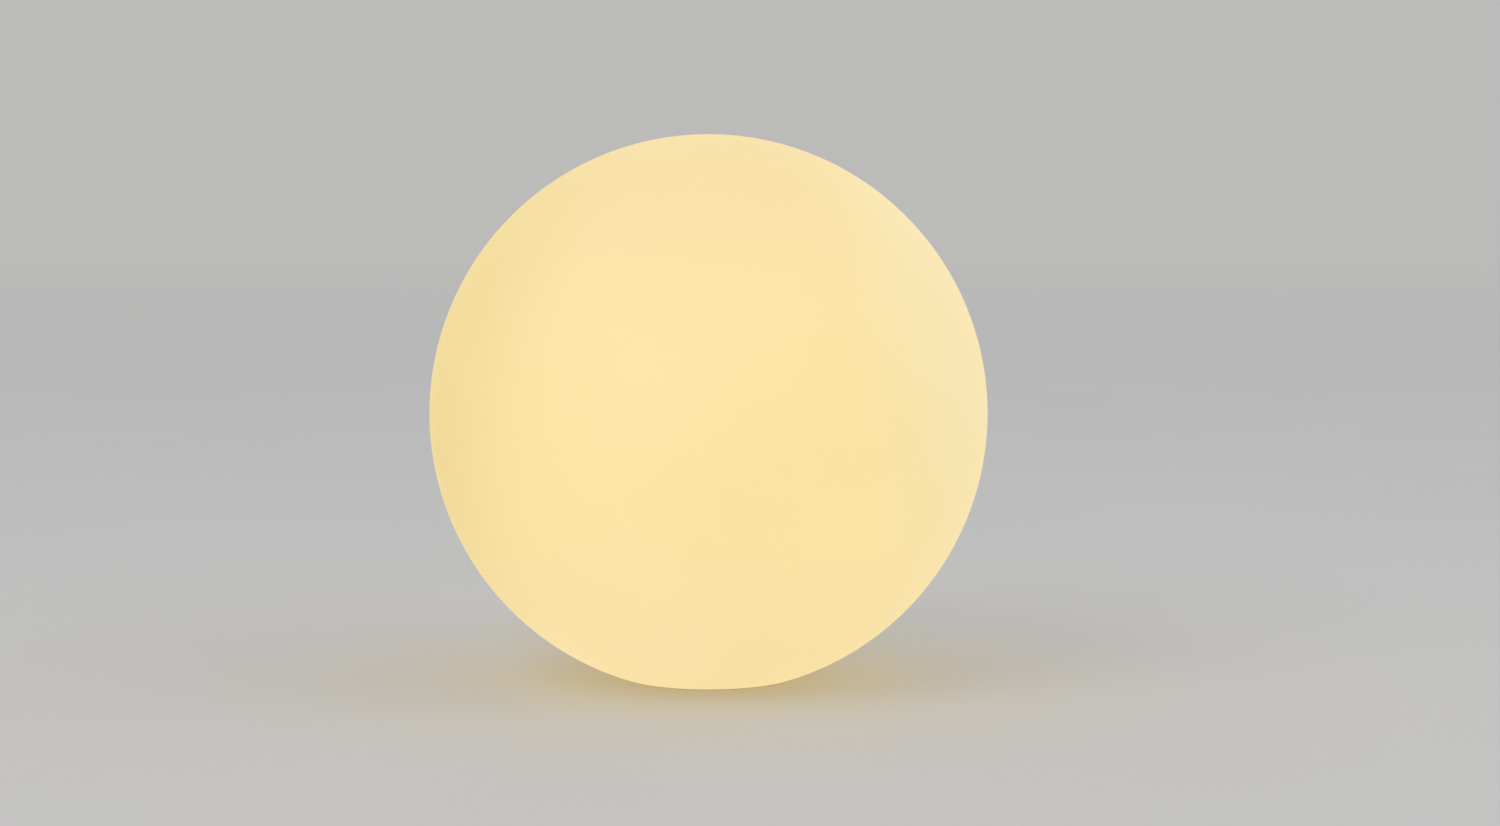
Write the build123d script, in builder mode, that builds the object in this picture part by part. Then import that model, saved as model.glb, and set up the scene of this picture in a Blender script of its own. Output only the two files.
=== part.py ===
"""Garden globe light: a moulded ball that screws down over a base with a lampholder in it.

All sizes are in millimetres. +Z is up and is the ball's axis, Z = 0 is the ground, and +Y is the
rear, where the mains cable leaves through a gland and a slot in the ball's foot. The ball stands
on a flat foot ring. Inside that ring the underside is hollow, and a threaded neck rises from it.
The base fills the hollow: a housing with a wiring chamber, closed below by a cover, and a deck that
carries the lampholder, so that the bulb stands in the lower half of the ball.
"""

import os
from math import ceil, cos, pi, radians, sin, sqrt, tan

from build123d import *

# ---------------------------------------------------------------- driving sizes
# General fits
slip_gap = 0.4  # between plain moulded pieces
shaft_gap = 0.1  # round a screw, a tube or a pad in its hole

# The ball
globe_diameter = 400.0
globe_wall = 3.0
foot_ring_width = 6.0  # from the recess to the edge of the flat
foot_edge_radius = 12.0
recess_edge_radius = 1.0
slot_width = 12.0  # cable slot through the foot, at the rear
slot_above_gland = 5.0  # crown of the slot above the gland's axis

# The round thread between the ball's neck and the base
neck_radius = 47.5  # mean radius of the thread in the neck
neck_throw = 1.0  # half the depth of the thread
neck_pitch = 6.0
neck_turns = 3  # turns that free the ball
neck_lead_in = 3.0
neck_thread_gap = 0.4
neck_shoulder_width = 5.5  # from the thread to the wall of the recess
neck_gasket_thickness = 2.0
neck_gasket_inset = 1.0  # from the thread to the gasket

# The base housing
housing_wall = 3.0
flange_thickness = 4.0
flange_gap = 0.5  # to the wall of the recess
skirt_gap = 2.0  # to the wall of the recess
skirt_clear = 2.0  # above the ground
ceiling_thickness = 2.0  # of the chamber under the flange
deck_thickness = 3.0
deck_inset = 1.0  # below the top of the neck

foot_pad_radius = 5.5
foot_pad_height = 3.5
foot_pad_sink = 0.5  # depth of its seat in the cover
foot_pad_inset = 1.6  # from the edge of the cover
foot_pad_angles = (-60, -120, 12, 168)

# The cover
cover_thickness = 3.0
cover_ledge = 3.0
cover_gasket_thickness = 1.0
cover_screw_radius = 1.5
cover_screw_length = 12.0
cover_screw_head_radius = 3.3
cover_screw_head_height = 2.0
cover_screw_inset = 3.5  # from the wall of the chamber
cover_screw_angles = (-30, -150, 60, 120)
cover_boss_radius = 4.2
cover_boss_height = 14.0

# The sockets that ground spikes push into
spike_socket_radius = 4.1
spike_socket_depth = 14.0
spike_socket_circle = 30.0
spike_socket_angles = (-90, 30, 150)
spike_boss_wall = 2.9

# The cable gland, M12, for a round cable
cable_diameter = 6.2
gland_axis = 16.0  # above the ground
gland_pocket_depth = 26.0  # from the skirt in to the wall that holds the gland
gland_wall = 2.5
gland_headroom = 1.5  # above the gland's flats
gland_side_room = 4.3  # beside the gland's corners
gland_flats = 15.0
gland_thread_radius = 5.5  # mean radius of the male thread
gland_throw = 0.4
gland_pitch = 1.5
gland_thread_gap = 0.2
gland_hex_length = 5.0
gland_washer_thickness = 1.0
gland_washer_width = 2.5
gland_lock_nut_length = 4.0
gland_tail_end = 2.5  # tail beyond the lock nut
gland_thread_length = 6.0
gland_finger_length = 4.0
gland_finger_wall = 0.8
gland_finger_slot = 0.8
gland_seat_depth = 2.0  # seat of the seal above the foot of the thread
gland_nut_gap = 1.0  # between the hexagon and the nut
gland_nut_length = 14.0
gland_nut_hex_length = 9.0
gland_nut_nose = 3.4  # thickness of the nut's end wall
gland_nose_radius = 4.8
gland_nose_fillet = 1.0

# The threaded tube that carries the lampholder, M10
tube_radius = 5.0
tube_bore_radius = 3.5
tube_end = 1.5  # beyond the nut and beyond the hub
tube_nut_flats = 14.0
tube_nut_thickness = 4.0
tube_washer_radius = 10.0
tube_washer_thickness = 1.0

# The lampholder
holder_radius = 21.0
holder_wall = 2.6
holder_hub_radius = 9.0
holder_hub_height = 8.0
holder_cap_height = 20.0
holder_cap_wall = 3.0
holder_band = 6.0  # height of the cap's straight band
holder_spigot = 2.0  # depth of the seat of the contact block
holder_ledge = 2.4
holder_rim_thickness = 2.5
holder_flute_count = 24
holder_flute_radius = 1.2
holder_flute_depth = 0.7
holder_flute_margin = 4.0

contact_block_thickness = 11.0
contact_seat_height = 5.0  # seat of the threaded sleeve above the block
contact_collar_height = 13.0  # collar round the sleeve above the block
contact_strip = 0.6
contact_strip_width = 6.0
contact_spring_rise = 1.9
contact_spring_reach = 6.0
contact_crest = 2.0
contact_pole_radius = 10.5
contact_screw_radius = 1.5
contact_screw_length = 7.0
contact_screw_head_radius = 2.6
contact_screw_head_height = 2.0

# The lamp thread, E27, and the bulb
lamp_thread_radius = 12.65  # mean radius of the thread on the bulb
lamp_throw = 0.5
lamp_pitch = 3.629
lamp_thread_gap = 0.2
lamp_thread_length = 19.0
lamp_sleeve_wall = 0.5
lamp_sleeve_below_rim = 1.0

bulb_contact_gap = 0.1
bulb_tip_radius = 4.6
bulb_tip_height = 1.4
bulb_tip_stem_radius = 1.5
bulb_insulator_height = 3.6
bulb_insulator_rim = 1.0
bulb_plug_height = 2.0
bulb_cap_wall = 0.55
bulb_collar_height = 3.0
bulb_collar_rim = 0.05
bulb_seal_width = 5.4
bulb_foot_radius = 16.0
bulb_waist_radius = 20.4
bulb_radius = 30.0
bulb_body_height = 46.0
bulb_body_wall = 3.0
bulb_spigot_length = 12.0
bulb_spigot_wall = 2.0
bulb_dome_wall = 1.2
bulb_dome_drop = 7.0  # rim of the dome below its centre
led_board_thickness = 1.6
led_circle = 17.0
led_count = 12
led_size = 3.0
led_height = 0.7
driver_board_width = 16.0
driver_board_length = 50.0
driver_board_thickness = 1.6
driver_capacitor_radius = 5.0
driver_capacitor_length = 14.0
driver_coil_size = 8.0
driver_part_height = 26.0  # lower end of the capacitor above the board's end

# The terminal block and the inner leads
terminal_width = 20.0
terminal_length = 16.0
terminal_height = 13.0
terminal_front = 15.0  # distance of its front face from the axis
terminal_stand = 6.0  # height of the pillar above the block
terminal_pillar_radius = 4.0
terminal_spacing = 10.0
terminal_axis_height = 5.0
terminal_clamp_radius = 2.9
terminal_clamp_inset = 1.0
terminal_screw_radius = 1.4
terminal_screw_spacing = 8.0
terminal_screw_end = 0.5  # stands out below the block
lead_radius = 1.1
lead_spacing = 3.2  # between the two leads in the tube
lead_gap = 0.4  # round a lead in its clamp
lead_entry = 3.0  # depth in the clamp
lead_rise = 3.5
lead_clear = 6.0  # straight run in front of the block

# ---------------------------------------------------------------- places that follow from them
globe_radius = globe_diameter / 2
recess_radius = neck_radius + neck_throw + neck_shoulder_width
skirt_radius = recess_radius - skirt_gap
foot_radius = recess_radius + foot_ring_width
globe_centre = sqrt(globe_radius**2 - foot_radius**2)

cover_bottom = foot_pad_height - foot_pad_sink
cover_top = cover_bottom + cover_thickness
chamber_floor = cover_top + cover_gasket_thickness

gland_wall_face = skirt_radius - gland_pocket_depth
gland_corner = gland_flats / 2 / cos(radians(30))
pocket_half_width = gland_corner + gland_side_room
pocket_roof = gland_axis + gland_flats / 2 + gland_headroom
slot_crown = gland_axis + slot_above_gland

flange_bottom = pocket_roof + ceiling_thickness / 2
flange_top = flange_bottom + flange_thickness
chamber_ceiling = flange_top - ceiling_thickness
shoulder = flange_top + neck_gasket_thickness
neck_rise = neck_turns * neck_pitch
neck_top = shoulder + neck_rise + neck_lead_in
deck_top = neck_top - deck_inset
deck_bottom = deck_top - deck_thickness

drum_thread_radius = neck_radius - neck_thread_gap
drum_bore_radius = drum_thread_radius - neck_throw - housing_wall
flange_radius = recess_radius - flange_gap
cover_seat_radius = skirt_radius - housing_wall
cover_radius = cover_seat_radius - slip_gap
chamber_radius = cover_seat_radius - cover_ledge
cover_screw_circle = chamber_radius - cover_screw_inset
foot_pad_circle = cover_radius - foot_pad_radius - foot_pad_inset

gland_plane = Plane(origin=(0, 0, gland_axis), x_dir=(1, 0, 0), z_dir=(0, 1, 0))
gland_hex_start = gland_wall_face + gland_washer_thickness
gland_thread_start = gland_hex_start + gland_hex_length
gland_finger_start = gland_thread_start + gland_thread_length
gland_finger_end = gland_finger_start + gland_finger_length
gland_finger_radius = gland_thread_radius - gland_throw - shaft_gap
gland_seat_radius = gland_finger_radius - gland_finger_wall
gland_seal_start = gland_thread_start + gland_seat_depth
gland_seal_radius = gland_seat_radius - shaft_gap
gland_seal_bore = cable_diameter / 2 + shaft_gap
gland_bore_radius = gland_seal_bore + slip_gap
gland_tail_radius = gland_thread_radius + gland_throw
gland_lock_nut_end = gland_wall_face - gland_wall
gland_lock_nut_start = gland_lock_nut_end - gland_lock_nut_length
gland_tail_start = gland_lock_nut_start - gland_tail_end
gland_nut_start = gland_thread_start + gland_nut_gap
gland_nut_end = gland_nut_start + gland_nut_length
gland_seal_end = gland_nut_end - gland_nut_nose

holder_bore = holder_radius - holder_wall
holder_cap_top = deck_top + holder_cap_height
contact_block_radius = holder_bore - slip_gap
contact_block_bottom = holder_cap_top - holder_spigot
contact_block_top = contact_block_bottom + contact_block_thickness
contact_foot = contact_block_bottom - contact_strip
bulb_tip = contact_block_top + contact_spring_rise + bulb_contact_gap
bulb_insulator_bottom = bulb_tip + bulb_tip_height
lamp_thread_bottom = bulb_insulator_bottom + bulb_insulator_height
holder_rim = lamp_thread_bottom + lamp_thread_length
sleeve_thread_radius = lamp_thread_radius + lamp_thread_gap
sleeve_radius = sleeve_thread_radius + lamp_throw + lamp_sleeve_wall
sleeve_bottom = contact_block_top + contact_seat_height
sleeve_top = holder_rim - lamp_sleeve_below_rim
side_contact_radius = sleeve_radius - lamp_sleeve_wall / 2

bulb_cap_bore = lamp_thread_radius - lamp_throw - bulb_cap_wall
bulb_collar_radius = lamp_thread_radius + lamp_throw + bulb_collar_rim
bulb_collar_top = holder_rim + bulb_collar_height
bulb_body_bottom = bulb_collar_top
bulb_body_top = bulb_body_bottom + bulb_body_height
bulb_dome_centre = bulb_body_top + bulb_dome_drop
bulb_rim_radius = sqrt(bulb_radius**2 - bulb_dome_drop**2)
bulb_rim_bore = sqrt((bulb_radius - bulb_dome_wall) ** 2 - bulb_dome_drop**2)
bulb_spigot_radius = bulb_cap_bore - shaft_gap
bulb_spigot_bottom = bulb_body_bottom - bulb_spigot_length

tube_bottom = deck_bottom - tube_washer_thickness - tube_nut_thickness - tube_end
hub_floor = deck_top + holder_hub_height
tube_top = hub_floor + tube_end
terminal_top = deck_bottom - terminal_stand
terminal_bottom = terminal_top - terminal_height
terminal_axis = terminal_bottom + terminal_axis_height
terminal_middle = -terminal_front - terminal_length / 2
clamp_bore_radius = lead_radius + lead_gap
lead_end_height = contact_foot - lead_radius - shaft_gap
lead_end_radius = contact_pole_radius - contact_screw_head_radius - slip_gap


# ---------------------------------------------------------------- shared forms
def screw_form(radius, throw, pitch, low, high, steps_per_turn=8):
    """A rod with a round right-hand thread: its centre goes round the axis as it rises."""
    steps = ceil((high - low) / pitch * steps_per_turn)
    with BuildPart() as form:
        for step in range(steps + 1):
            height = low + (high - low) * step / steps
            swing = radians(360 * height / pitch)
            with BuildSketch(Plane.XY.offset(height)):
                with Locations((throw * cos(swing), throw * sin(swing))):
                    Circle(radius)
        loft(ruled=True)
    return form.part


def hex_form(flats, length):
    """A hexagonal bar that rises from Z = 0, its corners turned down at both ends."""
    corner = flats / 2 / cos(radians(30))
    with BuildPart() as bar:
        with BuildSketch():
            Circle(corner)
        extrude(amount=length)
        chamfer(bar.edges().filter_by(GeomType.CIRCLE), length=0.5 * (corner - flats / 2))
        with BuildSketch():
            RegularPolygon(corner, 6)
        extrude(amount=length, mode=Mode.INTERSECT)
    return bar.part


def pan_screw(radius, length, head_radius, head_height):
    """A screw that points up from Z = 0, with a cross recess in the head below it."""
    with BuildPart() as screw:
        with BuildSketch(Plane.XY.offset(-head_height)):
            Circle(head_radius)
        extrude(amount=head_height)
        fillet(screw.edges().group_by(Axis.Z)[0], radius=0.4 * head_height)
        with BuildSketch():
            Circle(radius)
        extrude(amount=length)
        chamfer(screw.edges().group_by(Axis.Z)[-1], length=0.4 * radius)
        with BuildSketch(Plane.XY.offset(-head_height)):
            Rectangle(1.1 * head_radius, 0.5 * radius)
            Rectangle(0.5 * radius, 1.1 * head_radius)
        extrude(amount=0.6 * head_height, mode=Mode.SUBTRACT)
    return screw.part


def ring(inner, outer, low, high):
    """A flat ring or short tube about the Z axis."""
    with BuildPart() as band:
        with BuildSketch(Plane.XY.offset(low)):
            Circle(outer)
            Circle(inner, mode=Mode.SUBTRACT)
        extrude(amount=high - low)
    return band


def turned(points):
    """A body turned about the Z axis from a closed outline of radius and height."""
    with BuildPart() as body:
        with BuildSketch(Plane.XZ):
            with BuildLine():
                Polyline(*points, close=True)
            make_face()
        revolve(axis=Axis.Z)
    return body


def on_circle(radius, angles):
    """Points on a circle about the axis."""
    return [(radius * cos(radians(angle)), radius * sin(radians(angle))) for angle in angles]


def ball_half(radius, low):
    """Right half of the ball's section above a height, a sketch for the plane XZ."""
    with BuildSketch(mode=Mode.PRIVATE) as half:
        with Locations((0, globe_centre)):
            Circle(radius)
        with Locations((0, low)):
            Rectangle(4 * radius, 4 * radius, align=(Align.CENTER, Align.MAX), mode=Mode.SUBTRACT)
        Rectangle(4 * radius, 8 * radius, align=(Align.MAX, Align.CENTER), mode=Mode.SUBTRACT)
    return half.sketch


def below(width, height):
    """A wide rectangle below a height, a sketch for the plane XZ."""
    with BuildSketch(mode=Mode.PRIVATE) as block:
        with Locations((0, height)):
            Rectangle(2 * width, 4 * globe_radius, align=(Align.CENTER, Align.MAX))
    return block.sketch


def slot_arch(margin):
    """The cable slot's section, grown by a margin, a sketch for the plane XZ."""
    half = slot_width / 2 + margin
    with BuildSketch(mode=Mode.PRIVATE) as arch:
        with Locations((0, slot_crown + margin - half)):
            Circle(half)
            Rectangle(2 * half, 2 * slot_crown, align=(Align.CENTER, Align.MAX))
    return arch.sketch


def chamber_plan(radius, margin):
    """A disc without the gland's pocket and a margin round it, a sketch for the plane XY."""
    with BuildSketch(mode=Mode.PRIVATE) as plan:
        Circle(radius)
        with Locations((0, gland_wall_face - margin)):
            Rectangle(
                2 * (pocket_half_width + margin),
                4 * radius,
                align=(Align.CENTER, Align.MIN),
                mode=Mode.SUBTRACT,
            )
    return plan.sketch


def route_radii(points):
    """Bend radii of a route: 0.45 of the shorter run over the tangent of half the turn."""
    radii = []
    for before, corner, after in zip(points, points[1:], points[2:]):
        run_in = Vector(*corner) - Vector(*before)
        run_out = Vector(*after) - Vector(*corner)
        half_turn = radians(run_in.get_angle(run_out)) / 2
        radii.append(0.45 * min(run_in.length, run_out.length) / tan(half_turn))
    return radii


def write(piece, name):
    """Labels a finished piece and writes it."""
    piece.part.label = name
    export_step(piece.part, f"parts/{name}.step")


os.makedirs("parts", exist_ok=True)

# ---------------------------------------------------------------- the ball
with BuildPart() as globe_shell:
    with BuildSketch(Plane.XZ):
        add(ball_half(globe_radius, 0))
        add(ball_half(globe_radius - globe_wall, globe_wall), mode=Mode.SUBTRACT)
        add(below(recess_radius, shoulder), mode=Mode.SUBTRACT)
    revolve(axis=Axis.Z)
    ground_edges = globe_shell.edges().filter_by(GeomType.CIRCLE).group_by(Axis.Z)[0].sort_by(SortBy.RADIUS)
    fillet(ground_edges[-1], radius=foot_edge_radius)
    ground_edges = globe_shell.edges().filter_by(GeomType.CIRCLE).group_by(Axis.Z)[0].sort_by(SortBy.RADIUS)
    fillet(ground_edges[0], radius=recess_edge_radius)
    with BuildSketch(Plane.XZ):
        add(slot_arch(0))
    extrude(amount=-2 * globe_radius, mode=Mode.SUBTRACT)
write(globe_shell, "globe_shell")

# The collar is welded into the ball: the recess's wall, the shoulder, the threaded neck and, at the
# rear, the tunnel that the slot's arch makes from the recess to the inside of the ball's wall.
collar_section = turned(
    [
        (recess_radius, globe_wall),
        (recess_radius + globe_wall, globe_wall),
        (recess_radius + globe_wall, shoulder + globe_wall),
        (neck_radius + neck_throw + globe_wall, shoulder + globe_wall),
        (neck_radius + neck_throw + globe_wall, neck_top),
        (neck_radius - 2 * neck_throw, neck_top),
        (neck_radius - 2 * neck_throw, shoulder),
        (recess_radius, shoulder),
    ]
)
neck_cutter = screw_form(neck_radius, neck_throw, neck_pitch, shoulder - 1, neck_top + 1)

with BuildPart() as globe_collar:
    with BuildSketch(Plane.XZ):
        add(slot_arch(globe_wall))
    extrude(amount=-2 * globe_radius)
    with BuildSketch(Plane.XZ):
        add(ball_half(globe_radius - globe_wall, globe_wall))
    revolve(axis=Axis.Z, mode=Mode.INTERSECT)
    with BuildSketch():
        Circle(recess_radius)
    extrude(amount=shoulder, mode=Mode.SUBTRACT)
    add(collar_section.part)
    with BuildSketch(Plane.XZ):
        add(slot_arch(0))
    extrude(amount=-2 * globe_radius, mode=Mode.SUBTRACT)
    add(neck_cutter, mode=Mode.SUBTRACT)
write(globe_collar, "globe_collar")

neck_gasket = ring(neck_radius + neck_throw + neck_gasket_inset, flange_radius, flange_top, shoulder)
write(neck_gasket, "neck_gasket")

# ---------------------------------------------------------------- the base
drum = screw_form(drum_thread_radius, neck_throw, neck_pitch, flange_top, deck_top)

with BuildPart() as base_housing:
    with BuildSketch(Plane.XY.offset(skirt_clear)):
        Circle(skirt_radius)
    extrude(amount=flange_bottom - skirt_clear)
    with BuildSketch(Plane.XY.offset(flange_bottom)):
        Circle(flange_radius)
    extrude(amount=flange_top - flange_bottom)
    add(drum)
    # Hollows, from the cover's seat up to the deck
    with BuildSketch(Plane.XY.offset(skirt_clear)):
        Circle(cover_seat_radius)
    extrude(amount=chamber_floor - skirt_clear, mode=Mode.SUBTRACT)
    with BuildSketch(Plane.XY.offset(chamber_floor)):
        add(chamber_plan(chamber_radius, gland_wall))
    extrude(amount=chamber_ceiling - chamber_floor, mode=Mode.SUBTRACT)
    with BuildSketch(Plane.XY.offset(chamber_ceiling)):
        Circle(drum_bore_radius)
    extrude(amount=deck_bottom - chamber_ceiling, mode=Mode.SUBTRACT)
    # The pocket behind the chamber, open to the ground and the rear, and the gland's hole
    with BuildSketch(Plane.XY.offset(skirt_clear)):
        with Locations((0, gland_wall_face)):
            Rectangle(2 * pocket_half_width, 2 * flange_radius, align=(Align.CENTER, Align.MIN))
    extrude(amount=pocket_roof - skirt_clear, mode=Mode.SUBTRACT)
    with BuildSketch(gland_plane.offset(gland_lock_nut_end)):
        Circle(gland_tail_radius + shaft_gap)
    extrude(amount=gland_wall, mode=Mode.SUBTRACT)
    # Bosses for the cover's screws and the pillar for the terminal block
    with BuildSketch(Plane.XY.offset(chamber_floor)):
        with Locations(*on_circle(cover_screw_circle, cover_screw_angles)):
            Circle(cover_boss_radius)
    extrude(amount=cover_boss_height)
    with BuildSketch(Plane.XY.offset(terminal_top)):
        with Locations((0, terminal_middle)):
            Circle(terminal_pillar_radius)
    extrude(amount=deck_bottom - terminal_top)
    with BuildSketch(Plane.XY.offset(chamber_floor)):
        with Locations(*on_circle(cover_screw_circle, cover_screw_angles)):
            Circle(cover_screw_radius + shaft_gap)
    extrude(amount=cover_screw_length, mode=Mode.SUBTRACT)
    with BuildSketch(Plane.XY.offset(terminal_top)):
        with Locations((0, terminal_middle)):
            Circle(contact_screw_radius + shaft_gap)
    extrude(amount=terminal_stand, mode=Mode.SUBTRACT)
    with BuildSketch(Plane.XY.offset(deck_bottom)):
        Circle(tube_radius + shaft_gap)
    extrude(amount=deck_thickness, mode=Mode.SUBTRACT)
write(base_housing, "base_housing")

with BuildPart() as base_cover:
    with BuildSketch(Plane.XY.offset(cover_bottom)):
        add(chamber_plan(cover_radius, 0))
    extrude(amount=cover_thickness)
    with BuildSketch(Plane.XY.offset(cover_bottom)):
        with Locations(*on_circle(spike_socket_circle, spike_socket_angles)):
            Circle(spike_socket_radius + spike_boss_wall)
    extrude(amount=spike_socket_depth + cover_thickness)
    with BuildSketch(Plane.XY.offset(cover_bottom)):
        with Locations(*on_circle(spike_socket_circle, spike_socket_angles)):
            Circle(spike_socket_radius)
    extrude(amount=spike_socket_depth, mode=Mode.SUBTRACT)
    with BuildSketch(Plane.XY.offset(cover_bottom)):
        with Locations(*on_circle(cover_screw_circle, cover_screw_angles)):
            Circle(cover_screw_radius + slip_gap)
    extrude(amount=cover_thickness, mode=Mode.SUBTRACT)
    with BuildSketch(Plane.XY.offset(cover_bottom)):
        with Locations(*on_circle(foot_pad_circle, foot_pad_angles)):
            Circle(foot_pad_radius + shaft_gap)
    extrude(amount=foot_pad_sink, mode=Mode.SUBTRACT)
write(base_cover, "base_cover")

# The gasket follows the cover's edge and rings each screw.
with BuildPart() as cover_gasket:
    with BuildSketch(Plane.XY.offset(cover_top)):
        add(chamber_plan(cover_radius, 0))
        add(chamber_plan(chamber_radius, gland_wall), mode=Mode.SUBTRACT)
        with Locations(*on_circle(cover_screw_circle, cover_screw_angles)):
            Circle(cover_boss_radius)
            Circle(cover_screw_radius + slip_gap, mode=Mode.SUBTRACT)
    extrude(amount=cover_gasket_thickness)
write(cover_gasket, "cover_gasket")

cover_screw = pan_screw(
    cover_screw_radius, cover_screw_length, cover_screw_head_radius, cover_screw_head_height
)
with BuildPart(Plane.XY.offset(cover_bottom)) as cover_screws:
    with Locations(*on_circle(cover_screw_circle, cover_screw_angles)):
        add(cover_screw)
write(cover_screws, "cover_screws")

with BuildPart() as rubber_feet:
    with BuildSketch():
        with Locations(*on_circle(foot_pad_circle, foot_pad_angles)):
            Circle(foot_pad_radius)
    extrude(amount=foot_pad_height)
    fillet(rubber_feet.edges().group_by(Axis.Z)[0], radius=foot_pad_sink)
write(rubber_feet, "rubber_feet")

# ---------------------------------------------------------------- the cable gland
gland_hexagon = hex_form(gland_flats, gland_hex_length)
gland_male = screw_form(gland_thread_radius, gland_throw, gland_pitch, 0, gland_thread_length)

with BuildPart() as gland_body:
    with Locations(gland_plane.offset(gland_hex_start)):
        add(gland_hexagon)
    with Locations(gland_plane.offset(gland_thread_start)):
        add(gland_male)
    with BuildSketch(gland_plane.offset(gland_tail_start)):
        Circle(gland_tail_radius)
    extrude(amount=gland_hex_start - gland_tail_start)
    with BuildSketch(gland_plane.offset(gland_finger_start)):
        Circle(gland_finger_radius)
    extrude(amount=gland_finger_length)
    with BuildSketch(gland_plane.offset(gland_tail_start)):
        Circle(gland_bore_radius)
    extrude(amount=gland_seal_start - gland_tail_start, mode=Mode.SUBTRACT)
    with BuildSketch(gland_plane.offset(gland_seal_start)):
        Circle(gland_seat_radius)
    extrude(amount=gland_finger_end - gland_seal_start, mode=Mode.SUBTRACT)
    with BuildSketch(gland_plane.offset(gland_finger_start)):
        for angle in (30, 90, 150):
            Rectangle(3 * gland_finger_radius, gland_finger_slot, rotation=angle)
    extrude(amount=gland_finger_length, mode=Mode.SUBTRACT)
write(gland_body, "gland_body")

with BuildPart() as gland_washer:
    with BuildSketch(gland_plane.offset(gland_wall_face)):
        Circle(gland_tail_radius + gland_washer_width)
        Circle(gland_tail_radius + shaft_gap, mode=Mode.SUBTRACT)
    extrude(amount=gland_washer_thickness)
write(gland_washer, "gland_washer")

lock_hexagon = hex_form(gland_flats, gland_lock_nut_length)
with BuildPart() as gland_lock_nut:
    with Locations(gland_plane.offset(gland_lock_nut_start)):
        add(lock_hexagon)
    with BuildSketch(gland_plane.offset(gland_lock_nut_start)):
        Circle(gland_tail_radius + shaft_gap)
    extrude(amount=gland_lock_nut_length, mode=Mode.SUBTRACT)
write(gland_lock_nut, "gland_lock_nut")

with BuildPart() as gland_seal:
    with BuildSketch(gland_plane.offset(gland_seal_start)):
        Circle(gland_seal_radius)
        Circle(gland_seal_bore, mode=Mode.SUBTRACT)
    extrude(amount=gland_seal_end - gland_seal_start)
write(gland_seal, "gland_seal")

nut_hexagon = hex_form(gland_flats, gland_nut_hex_length)
nut_cutter = screw_form(
    gland_thread_radius + gland_thread_gap,
    gland_throw,
    gland_pitch,
    gland_nut_gap - slip_gap,
    gland_thread_length + gland_nut_gap,
)
with BuildPart() as gland_nut:
    with BuildSketch(gland_plane.offset(gland_nut_start + gland_nut_hex_length)):
        Circle(gland_flats / 2 - slip_gap)
    with BuildSketch(gland_plane.offset(gland_nut_end)):
        Circle(gland_nose_radius)
    loft()
    fillet(gland_nut.edges().group_by(Axis.Y)[-1], radius=gland_nose_fillet)
    with Locations(gland_plane.offset(gland_nut_start)):
        add(nut_hexagon)
    with BuildSketch(gland_plane.offset(gland_finger_start)):
        Circle(gland_finger_radius + gland_thread_gap)
    extrude(amount=gland_seal_end - gland_finger_start, mode=Mode.SUBTRACT)
    with BuildSketch(gland_plane.offset(gland_seal_end)):
        Circle(gland_bore_radius)
    extrude(amount=gland_nut_nose, mode=Mode.SUBTRACT)
    with Locations(gland_plane.offset(gland_thread_start)):
        add(nut_cutter, mode=Mode.SUBTRACT)
write(gland_nut, "gland_nut")

# ---------------------------------------------------------------- the lampholder
holder_tube = ring(tube_bore_radius, tube_radius, tube_bottom, tube_top)
write(holder_tube, "holder_tube")

tube_washer = ring(
    tube_radius + shaft_gap, tube_washer_radius, deck_bottom - tube_washer_thickness, deck_bottom
)
write(tube_washer, "tube_washer")

tube_hexagon = hex_form(tube_nut_flats, tube_nut_thickness)
with BuildPart(Plane.XY.offset(tube_bottom + tube_end)) as tube_nut:
    add(tube_hexagon)
    Hole(tube_radius + shaft_gap)
write(tube_nut, "tube_nut")

holder_cap = turned(
    [
        (tube_radius + shaft_gap, deck_top),
        (holder_hub_radius, deck_top),
        (holder_hub_radius, hub_floor - holder_cap_wall),
        (holder_radius, holder_cap_top - holder_band),
        (holder_radius, holder_cap_top),
        (holder_bore, holder_cap_top),
        (holder_bore, contact_block_bottom),
        (holder_bore - holder_ledge, contact_block_bottom),
        (holder_bore - holder_ledge, holder_cap_top - holder_band),
        (holder_hub_radius - 1, hub_floor),
        (tube_radius + shaft_gap, hub_floor),
    ]
)
write(holder_cap, "holder_cap")

barrel_opening = sleeve_radius + slip_gap
flute_low = holder_cap_top + holder_flute_margin
flute_high = holder_rim - holder_flute_margin
with BuildPart() as holder_barrel:
    with BuildSketch(Plane.XY.offset(holder_cap_top)):
        Circle(holder_radius)
    extrude(amount=holder_rim - holder_cap_top)
    fillet(holder_barrel.edges().group_by(Axis.Z)[-1], radius=holder_rim_thickness / 2)
    with BuildSketch(Plane.XY.offset(holder_cap_top)):
        Circle(holder_bore)
    extrude(amount=holder_rim - holder_rim_thickness - holder_cap_top, mode=Mode.SUBTRACT)
    with BuildSketch(Plane.XY.offset(holder_rim - holder_rim_thickness)):
        Circle(barrel_opening)
    extrude(amount=holder_rim_thickness, mode=Mode.SUBTRACT)
    with BuildSketch(Plane.XY.offset(flute_low)):
        with PolarLocations(
            holder_radius + holder_flute_radius - holder_flute_depth, holder_flute_count
        ):
            Circle(holder_flute_radius)
    extrude(amount=flute_high - flute_low, mode=Mode.SUBTRACT)
write(holder_barrel, "holder_barrel")

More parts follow.
